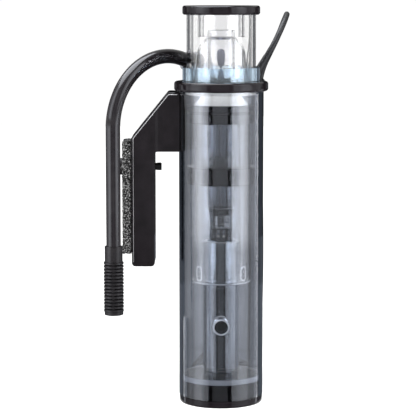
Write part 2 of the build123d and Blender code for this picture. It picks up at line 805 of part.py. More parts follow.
def plug_place():
    """The plug lies on the floor where the last turn leaves the coil."""
    angle = math.radians(COIL_EXIT_DEG)
    heading = Vector(math.sin(angle), -math.cos(angle), 0)
    leave = Vector(COIL_MID[0] + COIL_R[1] * math.cos(angle), COIL_MID[1] + COIL_R[1] * math.sin(angle), 0)
    start = leave + heading * PLUG_LEAD
    turn = math.degrees(math.atan2(heading.Y, heading.X)) - 90
    return start, turn


def plug_body():
    width, length, height = PLUG_SIZE
    body = Pos(0, length / 2, height / 2) * Box(width, length, height)
    body = fillet(body.edges().filter_by(Axis.Y), 3.0)
    neck_length = 18.0
    neck = Pos(0, -neck_length / 2, height / 2) * Rot(90, 0, 0) * Cone(4.2, CORD_D / 2 + 0.4, neck_length)
    start, turn = plug_place()
    return Pos(start.X, start.Y, 0) * Rot(0, 0, turn) * (body + neck) - cord_coil()


def plug_blades():
    width, length, height = PLUG_SIZE
    start, turn = plug_place()
    blades = [
        Pos(side * 6.35, length + 8.5, height / 2) * Box(1.5, 17, 6.3) for side in (-1, 1)
    ]
    return Compound(children=[Pos(start.X, start.Y, 0) * Rot(0, 0, turn) * b for b in blades])


# ---------------------------------------------------------------- assembly
NODES = [
    base_plate,
    base_plug,
    base_spacer,
    body_tube,
    top_flange,
    cup_collar,
    rear_manifold,
    bracket_front,
    bracket_back,
    bracket_duct,
    outlet_grille,
    foam_pad,
    screw_sleeve,
    thread_insert,
    clamp_tip,
    clamp_screw,
    clamp_knob,
    chamber_floor,
    reaction_tube_lower,
    reaction_tube_upper,
    mid_ring,
    chamber_top_ring,
    bubble_plate,
    riser_hub,
    riser_tube_lower,
    riser_tube_upper,
    diffuser_funnel,
    pump_housing,
    intake_cage,
    stand_tube,
    motor_mount,
    motor_can,
    shaft_housing,
    shaft_bushes,
    rotor_magnet,
    rotor_shaft,
    needle_wheel,
    air_tube,
    inner_cable,
    cup_tube,
    cup_base_ring,
    cup_o_ring,
    neck_cone,
    neck_tube,
    foam_bell,
    lid,
    lid_plug,
    siphon_pipe,
    inlet_elbow,
    elbow_o_ring,
    strainer,
    strainer_cap,
    air_valve_body,
    air_valve_knob,
    strain_relief,
    power_cord,
    cord_coil,
    plug_body,
    plug_blades,
]


def main():
    os.makedirs("parts", exist_ok=True)
    print("elbow bend", round(ELBOW_BEND, 2), "foot", round(ELBOW_FOOT, 2), "heading", round(HEADING, 2))
    for make in NODES:
        solid = make()
        export_step(solid, f"parts/{make.__name__}.step")


if __name__ == "__main__":
    main()
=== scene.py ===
"""Looks of the slim hang-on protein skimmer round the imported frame: +Z up, tank at -X, viewer at -Y.

The part's own sizes are in millimetres, as in its source, and the studio's are in metres.
"""
import json
import math
import bpy
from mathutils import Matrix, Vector, noise


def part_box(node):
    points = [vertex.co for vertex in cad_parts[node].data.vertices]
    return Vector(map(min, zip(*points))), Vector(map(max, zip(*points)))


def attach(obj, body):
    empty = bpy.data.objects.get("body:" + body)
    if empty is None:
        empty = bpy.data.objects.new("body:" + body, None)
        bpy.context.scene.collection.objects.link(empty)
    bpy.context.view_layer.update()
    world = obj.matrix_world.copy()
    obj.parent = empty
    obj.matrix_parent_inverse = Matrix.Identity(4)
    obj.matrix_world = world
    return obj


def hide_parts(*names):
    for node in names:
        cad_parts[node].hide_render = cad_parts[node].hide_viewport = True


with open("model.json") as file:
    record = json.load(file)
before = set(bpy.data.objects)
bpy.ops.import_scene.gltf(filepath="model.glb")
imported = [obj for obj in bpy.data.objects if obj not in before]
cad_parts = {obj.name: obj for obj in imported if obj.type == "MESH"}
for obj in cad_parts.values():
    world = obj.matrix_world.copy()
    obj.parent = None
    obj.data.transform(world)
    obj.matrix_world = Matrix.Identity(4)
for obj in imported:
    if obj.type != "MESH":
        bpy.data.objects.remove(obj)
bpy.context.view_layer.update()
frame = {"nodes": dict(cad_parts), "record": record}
scene = bpy.context.scene
NODES = frame["nodes"]
MM = 0.001
TUBE_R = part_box("body_tube")[1][0]  # in metres, because only the studio uses it
CHAMBER_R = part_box("reaction_tube_lower")[1][0] / MM


def foot(node):
    """A node's lowest height, in millimetres."""
    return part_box(node)[0][2] / MM


def head(node):
    """A node's greatest height, in millimetres."""
    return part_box(node)[1][2] / MM


# ---------------------------------------------------------------- camera
CAMERA_AT = (-0.0109, -1.428, 0.3404)
CAMERA_TILT_DEG = 6.55  # below the horizon
CAMERA_LENS = 149.5
CAMERA_SHIFT = -0.04


def make_camera():
    """The camera at the photograph's angle."""
    data = bpy.data.cameras.new("camera")
    data.sensor_width = 36.0
    data.lens = CAMERA_LENS
    data.shift_y = CAMERA_SHIFT
    data.clip_start = 0.05
    data.clip_end = 60.0
    camera = bpy.data.objects.new("camera", data)
    camera.location = CAMERA_AT
    camera.rotation_euler = (math.radians(90 - CAMERA_TILT_DEG), 0, 0)
    scene.collection.objects.link(camera)
    scene.camera = camera


# ---------------------------------------------------------------- shader helpers
def new_material(name):
    """A material with one shader, its tree, that shader and its output."""
    made = bpy.data.materials.new(name)
    made.use_nodes = True
    tree = made.node_tree
    tree.nodes.clear()
    out = tree.nodes.new("ShaderNodeOutputMaterial")
    shader = tree.nodes.new("ShaderNodeBsdfPrincipled")
    tree.links.new(shader.outputs["BSDF"], out.inputs["Surface"])
    return made, tree, shader, out


def grain(tree, scale, stretch=(1, 1, 1), detail=4.0, kind="ShaderNodeTexNoise"):
    """A texture node over the part's own coordinates, in cells per metre."""
    coords = tree.nodes.new("ShaderNodeTexCoord")
    mapping = tree.nodes.new("ShaderNodeMapping")
    mapping.inputs["Scale"].default_value = stretch
    texture = tree.nodes.new(kind)
    texture.inputs["Scale"].default_value = scale
    texture.inputs["Detail"].default_value = detail
    tree.links.new(coords.outputs["Object"], mapping.inputs["Vector"])
    tree.links.new(mapping.outputs["Vector"], texture.inputs["Vector"])
    return texture


def spread(tree, source, low, high, start=0.3, end=0.7):
    """A texture's value, from start to end, moved to a range."""
    node = tree.nodes.new("ShaderNodeMapRange")
    node.inputs["From Min"].default_value = start
    node.inputs["From Max"].default_value = end
    node.inputs["To Min"].default_value = low
    node.inputs["To Max"].default_value = high
    tree.links.new(source, node.inputs["Value"])
    return node.outputs["Result"]


def tinted(tree, source, first, second):
    """Two colours mixed by a value."""
    node = tree.nodes.new("ShaderNodeMix")
    node.data_type = "RGBA"
    node.inputs[6].default_value = (*first, 1)
    node.inputs[7].default_value = (*second, 1)
    tree.links.new(source, node.inputs[0])
    return node.outputs[2]


def bumped(tree, shader, source, strength, distance):
    """A texture's value as the surface's relief."""
    node = tree.nodes.new("ShaderNodeBump")
    node.inputs["Strength"].default_value = strength
    node.inputs["Distance"].default_value = distance
    tree.links.new(source, node.inputs["Height"])
    tree.links.new(node.outputs["Normal"], shader.inputs["Normal"])


def set_sockets(shader, sockets):
    """Constants for the shader's own sockets, whose names have an underscore for each space."""
    for socket, value in sockets.items():
        shader.inputs[socket.replace("_", " ")].default_value = value


MOTTLE_CELLS = 90.0


def solid_finish(name, colours, rough, cells, bump, **sockets):
    """An opaque finish: a slow colour mottle, a finer grain in the roughness, and that grain's bump."""
    made, tree, shader, _ = new_material(name)
    slow = grain(tree, MOTTLE_CELLS)
    fine = grain(tree, cells, detail=6.0)
    colour = tinted(tree, spread(tree, slow.outputs["Fac"], 0, 1), *colours)
    tree.links.new(colour, shader.inputs["Base Color"])
    tree.links.new(spread(tree, fine.outputs["Fac"], *rough), shader.inputs["Roughness"])
    bumped(tree, shader, fine.outputs["Fac"], *bump)
    set_sockets(shader, sockets)
    return made


ACRYLIC_IOR = 1.49
HAZE_SHARE = 0.985  # of the tint, where the surface is haziest
DRAWN_HAZE = (60.0, (1, 1, 0.08))  # cells per metre and stretch: both run along the drawn tube
DRAWN_RIPPLE = (260.0, (1, 1, 0.03))
RIPPLE_DEPTH = 0.0002


def clear_finish(name, tint, absorbed, density, rough=(0.0, 0.012), ripple=0.004, **sockets):
    """Polished clear acrylic: a faint drawn ripple along it, and its colour from the path through it."""
    made, tree, shader, out = new_material(name)
    slow = grain(tree, *DRAWN_HAZE)
    fine = grain(tree, *DRAWN_RIPPLE, detail=2.0)
    haze = [HAZE_SHARE * channel for channel in tint]
    tree.links.new(tinted(tree, slow.outputs["Fac"], haze, tint), shader.inputs["Base Color"])
    tree.links.new(spread(tree, slow.outputs["Fac"], *rough), shader.inputs["Roughness"])
    bumped(tree, shader, fine.outputs["Fac"], ripple, RIPPLE_DEPTH)
    shader.inputs["Transmission Weight"].default_value = 1.0
    shader.inputs["IOR"].default_value = ACRYLIC_IOR
    set_sockets(shader, sockets)
    volume = tree.nodes.new("ShaderNodeVolumeAbsorption")
    volume.inputs["Color"].default_value = (*absorbed, 1)
    volume.inputs["Density"].default_value = density
    tree.links.new(volume.outputs["Volume"], out.inputs["Volume"])
    return made


# The foam's own dark colour, and a light grey painted on lit threads as their highlight.
FOAM_BASE_AND_HIGHLIGHT = ((0.006, 0.006, 0.006), (0.32, 0.32, 0.32))
FOAM_CELLS = 430.0
FOAM_FLECKS = 900.0
THREAD_WIDTH = 0.2  # share of a cell's size
FLECK_SPAN = (0.5, 0.62)  # of the fleck texture, from no thread to a lit one
FOAM_ROUGH = (0.7, 0.95)
FOAM_BUMP = (0.7, 0.0006)
FOAM_SHINE = 0.08


def foam_finish():
    """Open-cell foam: lighter threads, with a painted highlight, between dark pores."""
    made, tree, shader, _ = new_material("foam")
    cells = grain(tree, FOAM_CELLS, kind="ShaderNodeTexVoronoi")
    cells.feature = "DISTANCE_TO_EDGE"
    flecks = grain(tree, FOAM_FLECKS, detail=3.0)
    threads = spread(tree, cells.outputs["Distance"], 1, 0, 0.0, THREAD_WIDTH)
    # painted highlight: the threads are lightened only where the fleck texture reaches its lit end
    thread_highlight = tree.nodes.new("ShaderNodeMath")
    thread_highlight.operation = "MULTIPLY"
    tree.links.new(threads, thread_highlight.inputs[0])
    tree.links.new(spread(tree, flecks.outputs["Fac"], 0, 1, *FLECK_SPAN), thread_highlight.inputs[1])
    colour = tinted(tree, thread_highlight.outputs["Value"], *FOAM_BASE_AND_HIGHLIGHT)
    tree.links.new(colour, shader.inputs["Base Color"])
    tree.links.new(spread(tree, flecks.outputs["Fac"], *FOAM_ROUGH), shader.inputs["Roughness"])
    bumped(tree, shader, threads, *FOAM_BUMP)
    set_sockets(shader, {"Specular_IOR_Level": FOAM_SHINE})
    return made


# ---------------------------------------------------------------- finishes
# Each clear finish has its surface's tint, the colour of its volume, and that volume's density per metre.
# An IOR of its own is lower than real acrylic's, so that the part bends what is behind it less.
CLEAR_LOOKS = {
    "smoke_acrylic": ((0.99, 0.99, 0.99), (0.36, 0.40, 0.465), 212.0, {"ripple": 0.016}),
    "clear_acrylic": ((0.985, 0.99, 0.995), (0.48, 0.56, 0.63), 16.0, {"ripple": 0.016}),
    "blue_acrylic": ((0.88, 0.955, 1.0), (0.28, 0.60, 0.90), 46.0, {}),
    "cup_clear": ((0.985, 0.985, 0.985), (0.50, 0.50, 0.51), 36.0, {}),
    "riser_clear": ((0.97, 0.98, 0.99), (0.50, 0.50, 0.58), 130.0, {"IOR": 1.16}),
    "neck_clear": ((0.995, 0.995, 1.0), (0.42, 0.44, 0.50), 30.0, {"IOR": 1.2}),
    "bell_clear": ((0.995, 0.995, 1.0), (0.46, 0.48, 0.52), 24.0, {"IOR": 1.15}),
    "plug_clear": ((0.995, 0.995, 1.0), (0.46, 0.46, 0.48), 24.0, {"IOR": 1.25}),
    "grey_spacer": (
        (0.80, 0.83, 0.88),
        (0.5, 0.6, 0.72),
        40.0,
        {"rough": (0.12, 0.22), "ripple": 0.02, "IOR": 1.3},
    ),
    "stand_clear": (
        (0.97, 0.98, 0.99),
        (0.45, 0.54, 0.66),
        85.0,
        {"ripple": 0.012, "Coat_Weight": 1.0, "Coat_IOR": 1.95, "Coat_Roughness": 0.02},
    ),
}

# Each opaque finish has its two colours, the range of its roughness, the cells per metre of its fine grain,
# and that grain's bump as strength and depth.
SOLID_LOOKS = {
    "valve_slate": (
        ((0.045, 0.050, 0.085), (0.075, 0.082, 0.125)),
        (0.18, 0.3),
        1800.0,
        (0.1, 0.0001),
        {"Specular_IOR_Level": 0.35},
    ),
    # white_acrylic glows: its emission is painted light that brightens the white cone, which the flange and
    # the clear walls keep in shade
    "white_acrylic": (
        ((0.68, 0.69, 0.68), (0.76, 0.76, 0.75)),
        (0.18, 0.3),
        700.0,
        (0.05, 0.0001),
        {"Emission_Color": (1.0, 0.99, 0.96, 1), "Emission_Strength": 0.44},
    ),
    "black_acrylic": (
        ((0.004, 0.0032, 0.0038), (0.0075, 0.006, 0.0072)),
        (0.05, 0.11),
        500.0,
        (0.04, 0.00005),
        {"Specular_IOR_Level": 0.13},
    ),
    "ring_acrylic": (
        ((0.006, 0.0045, 0.0055), (0.010, 0.008, 0.009)),
        (0.06, 0.12),
        500.0,
        (0.04, 0.00005),
        {"Specular_IOR_Level": 0.4},
    ),
    "black_plastic": (
        ((0.005, 0.0045, 0.005), (0.010, 0.009, 0.010)),
        (0.22, 0.36),
        2400.0,
        (0.18, 0.0001),
        {"Specular_IOR_Level": 0.14},
    ),
    "black_pipe": (
        ((0.005, 0.004, 0.005), (0.009, 0.008, 0.009)),
        (0.10, 0.17),
        1500.0,
        (0.02, 0.0001),
        {"Specular_IOR_Level": 0.2},
    ),
    "lead_rubber": (
        ((0.004, 0.004, 0.0045), (0.009, 0.009, 0.0095)),
        (0.34, 0.48),
        2600.0,
        (0.16, 0.0001),
        {"Specular_IOR_Level": 0.16},
    ),
    "cut_edge": (
        ((0.52, 0.54, 0.58), (0.70, 0.72, 0.76)),
        (0.3, 0.5),
        1600.0,
        (0.2, 0.0001),
        {"Alpha": 0.5},
    ),
    # A lighter copy of the frosted edge: its extra lightness is a painted highlight.
    "painted_highlight_edge": (
        ((0.82, 0.84, 0.88), (0.93, 0.95, 0.98)),
        (0.25, 0.4),
        1600.0,
        (0.2, 0.0001),
        {"Alpha": 0.8},
    ),
    # A darker copy of the frosted edge: its dark grey is painted shade.
    "painted_shade_edge": (
        ((0.16, 0.16, 0.17), (0.26, 0.26, 0.27)),
        (0.3, 0.5),
        1600.0,
        (0.2, 0.0001),
        {"Alpha": 0.6},
    ),
    # A light grey line: a painted highlight along the bracket's seam.
    "painted_seam_highlight": (((0.22, 0.22, 0.23), (0.34, 0.34, 0.35)), (0.2, 0.35), 1600.0, (0.1, 0.0001), {}),
    "grey_elbow": (((0.17, 0.18, 0.20), (0.23, 0.24, 0.26)), (0.2, 0.32), 1500.0, (0.08, 0.0001), {}),
    "brass": (
        ((0.68, 0.50, 0.22), (0.80, 0.62, 0.30)),
        (0.2, 0.34),
        1800.0,
        (0.1, 0.0001),
        {"Metallic": 1.0},
    ),
    "steel": (
        ((0.52, 0.53, 0.54), (0.66, 0.67, 0.68)),
        (0.16, 0.28),
        1600.0,
        (0.06, 0.0001),
        {"Metallic": 1.0},
    ),
    "ceramic": (((0.80, 0.79, 0.76), (0.88, 0.87, 0.84)), (0.15, 0.25), 900.0, (0.04, 0.0001), {}),
    "magnet": (((0.05, 0.05, 0.055), (0.09, 0.09, 0.095)), (0.4, 0.55), 2200.0, (0.2, 0.0001), {}),
    "seal_rubber": (
        ((0.012, 0.012, 0.012), (0.022, 0.022, 0.022)),
        (0.5, 0.65),
        1800.0,
        (0.2, 0.0001),
        {},
    ),
    "air_silicone": (((0.16, 0.17, 0.20), (0.24, 0.25, 0.28)), (0.2, 0.35), 1200.0, (0.06, 0.0001), {}),
}

FINISH = {"foam": foam_finish()}
for finish, (*look, sockets) in CLEAR_LOOKS.items():
    FINISH[finish] = clear_finish(finish, *look, **sockets)
for finish, (*look, sockets) in SOLID_LOOKS.items():
    FINISH[finish] = solid_finish(finish, *look, **sockets)

NODE_FINISH = {
    "stand_tube": "stand_clear",
    "riser_tube_lower": "riser_clear",
    "riser_tube_upper": "riser_clear",
    "foam_bell": "bell_clear",
    "neck_tube": "neck_clear",
    "lid_plug": "plug_clear",
    "cup_tube": "cup_clear",
    "mid_ring": "ring_acrylic",
    "chamber_top_ring": "ring_acrylic",
    "cup_base_ring": "ring_acrylic",
    "riser_hub": "ring_acrylic",
    "air_valve_knob": "valve_slate",
    "air_valve_body": "valve_slate",
}


def finish_nodes():
    """Every CAD node takes the finish of its slot in the record, or its own where it has one."""
    for part in frame["record"]["subparts"]:
        node = NODES[part["node"]]
        node.data.materials.clear()
        node.data.materials.append(FINISH[NODE_FINISH.get(part["node"], part["material_slot"])])


# ---------------------------------------------------------------- mains lead
CORD_D = 5.0 * MM
LEAD_OUT = Vector((16.7, 5.0, 27.1)).normalized()
LEAD_INSIDE = 8.0  # how far the lead goes on inside its boot
CORD_ROUTE = [
    (38.9, 45.4, 286.7),
    (45.5, 47.4, 297.4),
    (51.0, 51.9, 308.8),
    (55.0, 60.3, 317.3),
    (57.4, 73.2, 322.5),
    (57.6, 87.4, 321.5),
    (55.3, 99.4, 314.5),
    (51.0, 106.6, 302.2),
    (44.4, 109.2, 288.4),
    (37.8, 109.8, 274.6),
    (34.4, 109.2, 259.0),
    (34.2, 108.8, 230.0),
    (35.2, 108.0, 190.0),
    (36.2, 107.4, 144.0),
    (36.6, 107.8, 98.0),
    (35.8, 108.2, 54.0),
    (35.4, 108.0, 28.8),
    (35.0, 103.0, 16.8),
    (34.0, 93.8, 7.6),
    (32.6, 81.8, 2.6),
    (31.0, 70.0, 2.6),
]
COIL_MID = (0.8, 73.0)
COIL_R = (25.0, 30.1)  # centres of the two columns of turns
COIL_Z = (2.6, 7.75, 12.9)  # centres of the three layers
COIL_ORDER = ((1, 0), (0, 0), (0, 1), (0, 2), (1, 2), (1, 1))  # column and layer of each turn
COIL_START_DEG = 354.3
COIL_EXIT_DEG = 165.0
POINTS_PER_TURN = 16
TURN_CHANGE = (300.0, 350.0)  # where in each turn the lead moves on to its next place
PLUG_TAIL = [(9.0, 7.3), (18.0, 6.5), (26.0, 6.0)]  # along the way out, and height


def round_coil(radius, degrees):
    """A place round the coil's middle."""
    angle = math.radians(degrees)
    return COIL_MID[0] + radius * math.cos(angle), COIL_MID[1] + radius * math.sin(angle)


def coil_turns():
    """Points of the put-away turns: round the coil clockwise, then straight out to the plug."""
    # The spline runs inside its points, so they stand out by the mean of its two extremes.
    step = 2 * math.pi / POINTS_PER_TURN
    inside = (math.cos(step / 2) + 0.75 + 0.25 * math.cos(step)) / 2
    places = [(COIL_R[column], COIL_Z[layer]) for column, layer in COIL_ORDER]
    sweep_end = 360.0 * (len(places) - 1) + (COIL_START_DEG - COIL_EXIT_DEG)
    count = round(sweep_end / 360.0 * POINTS_PER_TURN)
    points = []
    for k in range(1, count + 1):
        swept = sweep_end * k / count
        turn, into = divmod(swept, 360.0)
        here = places[int(turn)]
        there = places[min(int(turn) + 1, len(places) - 1)]
        share = min(max((into - TURN_CHANGE[0]) / (TURN_CHANGE[1] - TURN_CHANGE[0]), 0), 1)
        share = share * share * (3 - 2 * share)
        radius = (here[0] + (there[0] - here[0]) * share) / inside
        height = here[1] + (there[1] - here[1]) * share
        points.append((*round_coil(radius, COIL_START_DEG - swept), height))
    leave_x, leave_y = round_coil(places[-1][0], COIL_EXIT_DEG)
    angle = math.radians(COIL_EXIT_DEG)
    for along, height in PLUG_TAIL:
        points.append((leave_x + along * math.sin(angle), leave_y - along * math.cos(angle), height))
    return points


def make_lead():
    """The lead as one smooth line: out of its boot, over and down behind the body, and into its coil."""
    start = Vector(CORD_ROUTE[0]) - LEAD_INSIDE * LEAD_OUT
    points = [start, *CORD_ROUTE, *coil_turns()]
    data = bpy.data.curves.new("mains_lead", "CURVE")
    data.dimensions = "3D"
    data.bevel_depth = CORD_D / 2
    data.bevel_resolution = 5
    data.resolution_u = 8
    data.use_fill_caps = True
    spline = data.splines.new("NURBS")
    spline.points.add(len(points) - 1)
    for point, place in zip(spline.points, points):
        point.co = (*(coordinate * MM for coordinate in place), 1)
    spline.order_u = 3
    spline.use_endpoint_u = True
    data.materials.append(FINISH["lead_rubber"])
    lead = bpy.data.objects.new("mains_lead", data)
    scene.collection.objects.link(lead)
    return lead


# ---------------------------------------------------------------- mesh pieces
def mesh_piece(name, verts, faces, finish, body, smooth=True):
    """A new mesh piece in the row frame, riding on a body."""
    data = bpy.data.meshes.new(name)
    data.from_pydata(verts, [], faces)
    data.validate()
    if smooth:
        data.shade_smooth()
    data.materials.append(FINISH[finish])
    piece = bpy.data.objects.new(name, data)
    scene.collection.objects.link(piece)
    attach(piece, body)
    return piece


def loop_faces(around, count, flipped=False):
    """The faces of a closed ring of sections, each of count points."""
    faces = []
    for k in range(around):
        here = k * count
        after = (k + 1) % around * count
        for j in range(count):
            following = (j + 1) % count
            if flipped:
                faces.append((here + j, after + j, after + following, here + following))
            else:
                faces.append((here + j, here + following, after + following, after + j))
    return faces


TIE_AT_DEG = 100.0
TIE_R = (22.0, 33.1)
TIE_Z = (0.35, 15.95)
TIE_CORNER = 2.4
TIE_CORNER_STEPS = 6
TIE_ACROSS = [(-4.0, 0.0), (-4.2, 0.35), (-3.6, 0.75), (3.6, 0.75), (4.2, 0.35), (4.0, 0.0)]
TIE_LOWEST = 0.05


def tie_outline():
    """The rounded oblong, in radius and height, that the strap follows round the coil's turns."""
    left, right = TIE_R[0] + TIE_CORNER, TIE_R[1] - TIE_CORNER
    lower, upper = TIE_Z[0] + TIE_CORNER, TIE_Z[1] - TIE_CORNER
    outline = []
    for quarter, (across, up) in enumerate(((right, upper), (left, upper), (left, lower), (right, lower))):
        for step in range(TIE_CORNER_STEPS + 1):
            turn = math.radians(90 * quarter + 90 / TIE_CORNER_STEPS * step)
            outline.append((across + TIE_CORNER * math.cos(turn), up + TIE_CORNER * math.sin(turn)))
    return outline


def coil_tie():
    """A soft strap with crowned edges round the coil's six turns."""
    angle = math.radians(TIE_AT_DEG)
    radial = Vector((math.cos(angle), math.sin(angle), 0))
    along = Vector((-math.sin(angle), math.cos(angle), 0))
    middle = Vector((*COIL_MID, 0))
    centre = Vector((sum(TIE_R) / 2, sum(TIE_Z) / 2))
    outline = tie_outline()
    verts = []
    for spot in outline:
        push = (Vector(spot) - centre).normalized()
        for side, lift in TIE_ACROSS:
            out, height = Vector(spot) + lift * push
            point = middle + radial * out + along * side + Vector((0, 0, max(height, TIE_LOWEST)))
            verts.append(point * MM)
    faces = loop_faces(len(outline), len(TIE_ACROSS))
    return mesh_piece("coil_tie", verts, faces, "seal_rubber", "housing")


# ---------------------------------------------------------------- edges of tubes and rings
EDGE_EASE = 0.3  # of an edge's smaller side
EDGE_STEPS = 96
STUB_Z = 67.0  # height of the stand tube's port, which faces the viewer
STUB_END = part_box("stand_tube")[0][1] / MM
STUB_ROOT = (-15.4, -15.0)
BEAD_R = (27.71, 28.0)
BEAD_HEIGHT = 0.9
CUP_BEAD_DROP = 0.05  # keeps the cup ring's upper bead clear of the cup's wall


def cut_edge(name, body, radii, heights, finish="cut_edge", forward=False):
    """A machined edge: a thin ring with eased corners, about Z, or about the stub's axis if forward."""
    inner, outer = radii
    low, high = heights
    ease = min(outer - inner, high - low) * EDGE_EASE
    section = [
        (inner, low + ease),
        (inner, high - ease),
        (inner + ease, high),
        (outer - ease, high),
        (outer, high - ease),
        (outer, low + ease),
        (outer - ease, low),
        (inner + ease, low),
    ]
    verts = []
    for k in range(EDGE_STEPS):
        turn = 2 * math.pi * k / EDGE_STEPS
        for radius, height in section:
            side, rise = radius * math.cos(turn), radius * math.sin(turn)
            point = Vector((side, height, rise + STUB_Z)) if forward else Vector((side, rise, height))
            verts.append(point * MM)
    faces = loop_faces(EDGE_STEPS, len(section), flipped=forward)
    mesh_piece(name, verts, faces, finish, body)


def cut_edges():
    """The frosted edges of the clear parts; the lighter ones carry a painted highlight and the darker ones
    painted shade.
    """
    # bands on the outer faces of two clear discs
    spacer = (foot("base_spacer") + 0.3, head("base_spacer") - 0.2)
    floor = (foot("chamber_floor") + 0.3, head("chamber_floor") - 0.3)
    cut_edge("spacer_edge", "housing", (31.9, 31.97), spacer)
    cut_edge("chamber_floor_edge", "housing", (24.3, 24.45), floor)

    # cut ends inside the body, between each tube's two faces and just past its end
    stand = head("stand_tube")
    pump = head("pump_housing")
    riser = foot("riser_tube_lower")
    # the stand's and the pump's ends are lightened as painted highlights; the riser's is the plain frosted
    # edge
    cut_edge("stand_edge", "housing", (12.4, 14.75), (stand - 0.05, stand + 0.25), "painted_highlight_edge")
    cut_edge("pump_edge", "housing", (7.95, 9.15), (pump, pump + 0.3), "painted_highlight_edge")
    cut_edge("riser_edge", "housing", (10.05, 11.95), (riser - 0.25, riser))

    # the stand tube's port: its cut end, lightened as a painted highlight, and the bead round its root
    port = (STUB_END - 0.25, STUB_END)
    cut_edge("port_edge", "housing", (5.45, 6.75), port, "painted_highlight_edge", forward=True)
    cut_edge("port_root", "housing", (6.82, 7.35), STUB_ROOT, forward=True)

    # the cut ends of the cup's neck and of the lid's plug, darkened as painted shade
    neck = head("neck_tube")
    plug = foot("lid_plug")
    cut_edge("neck_edge", "cup", (9.65, 11.8), (neck, neck + 0.25), "painted_shade_edge")
    cut_edge("plug_edge", "cup_lid", (16.35, 19.25), (plug - 0.35, plug), "painted_shade_edge")


def ring_beads():
    """The dull bead at the foot and the head of each glossy black ring."""
    for name, node, body, below_top in (
        ("mid_ring", "mid_ring", "housing", BEAD_HEIGHT),
        ("top_ring", "chamber_top_ring", "housing", BEAD_HEIGHT),
        ("cup_ring", "cup_base_ring", "cup", BEAD_HEIGHT + CUP_BEAD_DROP),
    ):
        for end, low in (("foot", foot(node)), ("head", head(node) - below_top)):
            heights = (low, low + BEAD_HEIGHT)
            cut_edge(f"{name}_{end}", body, BEAD_R, heights, "black_plastic")


ARCH_AZIMUTHS = (53, 127, 233, 307)
ARCH_HALF_WIDTH = 3.3
ARCH_Z = (106.9, 112.0)  # centres of each port's lower and upper half circle
ARCH_STEPS = 32
RIM_HALF = 0.35
RIM_OUT = (0.02, 0.25)  # how far a rim's back and front stand out of the tube


def port_rim_highlights():
    """Painted highlights: light rings on the rims of the four round-ended ports in the reaction tube's
    foot.
    """
    back, front = (CHAMBER_R + out for out in RIM_OUT)
    narrow, wide = ARCH_HALF_WIDTH - RIM_HALF, ARCH_HALF_WIDTH + RIM_HALF
    section = [(narrow, back), (narrow, front), (wide, front), (wide, back)]
    for number, azimuth in enumerate(ARCH_AZIMUTHS):
        verts = []
        for k in range(ARCH_STEPS):
            turn = 2 * math.pi * k / ARCH_STEPS
            middle = ARCH_Z[1] if math.sin(turn) >= 0 else ARCH_Z[0]
            for size, radius in section:
                bearing = math.radians(azimuth) + size * math.cos(turn) / CHAMBER_R
                height = middle + size * math.sin(turn)
                point = Vector((radius * math.sin(bearing), -radius * math.cos(bearing), height))
                verts.append(point * MM)
        faces = loop_faces(ARCH_STEPS, len(section))
        mesh_piece(f"port_rim_{number}", verts, faces, "painted_highlight_edge", "housing")


SEAM_ROUTE = [
    (-36.2, 257.3),
    (-42.6, 257.3),
    (-43.9, 256.8),
    (-44.9, 255.6),
    (-72.4, 221.6),
    (-72.8, 220.6),
    (-72.8, 219.4),
    (-72.8, 118.0),
]
SEAM_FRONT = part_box("bracket_front")[0][1] / MM
SEAM_HALF = (0.30, 0.16)  # along the arm, and down the leg
SEAM_LEG = 6  # the route's first point on the leg
SEAM_OUT = 0.16


def bracket_seam_highlight():
    """A painted highlight: a light grey strip along the drawn edge where the bracket's front plate meets
    its rim strip.
    """
    last = len(SEAM_ROUTE) - 1
    verts = []
    for k, (x, z) in enumerate(SEAM_ROUTE):
        along = Vector(SEAM_ROUTE[min(k + 1, last)]) - Vector(SEAM_ROUTE[max(k - 1, 0)])
        along.normalize()
        half = SEAM_HALF[0] if k < SEAM_LEG else SEAM_HALF[1]
        for side, out in ((-half, 0.0), (-half / 2, SEAM_OUT), (half / 2, SEAM_OUT), (half, 0.0)):
            verts.append(Vector((x - along.y * side, SEAM_FRONT - out, z + along.x * side)) * MM)
    faces = []
    for k in range(last):
        for a in range(4 * k, 4 * k + 3):
            faces.append((a, a + 1, a + 5, a + 4))
    mesh_piece("bracket_seam_highlight", verts, faces, "painted_seam_highlight", "housing", smooth=False)


# ---------------------------------------------------------------- foam
FOAM_VOXEL = 0.75
FOAM_PORES = 420.0  # cells per metre
FOAM_FUZZ = 900.0
PORE_WALL = 0.5  # share of a cell over which its pore reaches full depth
PORE_DEPTH = 1.5
FUZZ_DEPTH = 0.3
FOAM_SET_BACK = 0.25


def foam_block():
    """The open-cell pad: the CAD pad's shape, with pores sunk into every face."""
    shell = bpy.data.objects.new("foam_shell", NODES["foam_pad"].data.copy())
    scene.collection.objects.link(shell)
    remesh = shell.modifiers.new("even", "REMESH")
    remesh.mode = "VOXEL"
    remesh.voxel_size = FOAM_VOXEL * MM
    remesh.use_smooth_shade = True
    data = bpy.data.meshes.new_from_object(shell.evaluated_get(bpy.context.evaluated_depsgraph_get()))
    bpy.data.objects.remove(shell)
    data.name = "foam_block"
    for vertex in data.vertices:
        near, _ = noise.voronoi(vertex.co * FOAM_PORES)
        pore = min(max((near[1] - near[0]) / PORE_WALL, 0), 1)
        fuzz = noise.noise(vertex.co * FOAM_FUZZ)
        vertex.co -= vertex.normal * (PORE_DEPTH * pore + FOAM_SET_BACK + FUZZ_DEPTH * fuzz) * MM
    data.materials.clear()
    data.materials.append(FINISH["foam"])
    data.update()
    piece = bpy.data.objects.new("foam_block", data)
    scene.collection.objects.link(piece)
    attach(piece, "housing")
    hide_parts("foam_pad")


